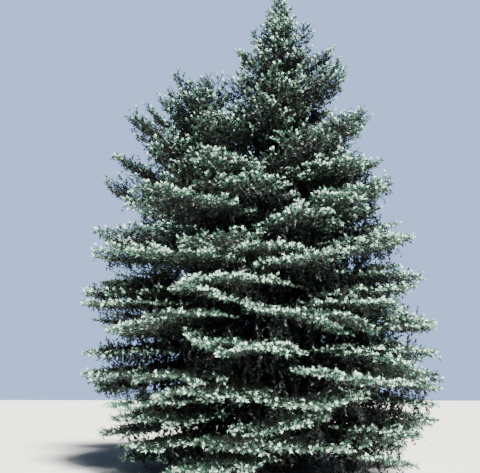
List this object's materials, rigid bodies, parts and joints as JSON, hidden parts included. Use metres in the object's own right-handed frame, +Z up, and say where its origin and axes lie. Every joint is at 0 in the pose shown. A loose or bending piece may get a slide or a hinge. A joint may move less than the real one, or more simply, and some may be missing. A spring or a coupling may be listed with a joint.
{
  "type": "blue spruce tree",
  "caption": "Conical blue spruce with drooping shelves of needles down to the ground, a second top that forks off to the left, and a flared trunk cut flat at ground level.",
  "frame": {"origin": "middle of the trunk's flat cut at ground level, at the mount ground", "axes": "+Z up, +X to the right and +Y away from the viewer, as the picture shows the tree"},
  "size_m": [6.8813, 6.1246, 10.15],
  "materials": {
    "bark": "rough grey-brown scaly bark",
    "bough_bark": "rough brown bark",
    "needles": "matt blue-green needles"
  },
  "bodies": {
    "root": {"bough_whorl1_1": "bough_bark", "bough_whorl1_2": "bough_bark", "bough_whorl1_3": "bough_bark", "bough_whorl1_4": "bough_bark", "bough_whorl1_5": "bough_bark", "bough_whorl2_1": "bough_bark", "bough_whorl2_2": "bough_bark", "bough_whorl2_3": "bough_bark", "bough_whorl2_4": "bough_bark", "bough_whorl2_5": "bough_bark", "foliage_left_top": "needles", "foliage_left_whorl1_1": "needles", "foliage_left_whorl1_2": "needles", "foliage_left_whorl1_3": "needles", "foliage_left_whorl2_1": "needles", "foliage_left_whorl2_2": "needles", "foliage_left_whorl2_3": "needles", "foliage_left_whorl3_1": "needles", "foliage_left_whorl3_2": "needles", "foliage_left_whorl3_3": "needles", "foliage_top": "needles", "foliage_whorl1_1": "needles", "foliage_whorl1_2": "needles", "foliage_whorl1_3": "needles", "foliage_whorl1_4": "needles", "foliage_whorl1_5": "needles", "foliage_whorl2_1": "needles", "foliage_whorl2_2": "needles", "foliage_whorl2_3": "needles", "foliage_whorl2_4": "needles", "foliage_whorl2_5": "needles", "foliage_whorl3_1": "needles", "foliage_whorl3_2": "needles", "foliage_whorl3_3": "needles", "foliage_whorl3_4": "needles", "foliage_whorl3_5": "needles", "foliage_whorl4_1": "needles", "foliage_whorl4_2": "needles", "foliage_whorl4_3": "needles", "foliage_whorl4_4": "needles", "foliage_whorl4_5": "needles", "foliage_whorl5_1": "needles", "foliage_whorl5_2": "needles", "foliage_whorl5_3": "needles", "foliage_whorl5_4": "needles", "foliage_whorl6_1": "needles", "foliage_whorl6_2": "needles", "foliage_whorl6_3": "needles", "foliage_whorl6_4": "needles", "foliage_whorl7_1": "needles", "foliage_whorl7_2": "needles", "foliage_whorl7_3": "needles", "foliage_whorl8_1": "needles", "foliage_whorl8_2": "needles", "foliage_whorl8_3": "needles", "foliage_whorl9_1": "needles", "foliage_whorl9_2": "needles", "foliage_whorl9_3": "needles", "second_stem": "bark", "trunk": "bark"}
  },
  "joints": []
}
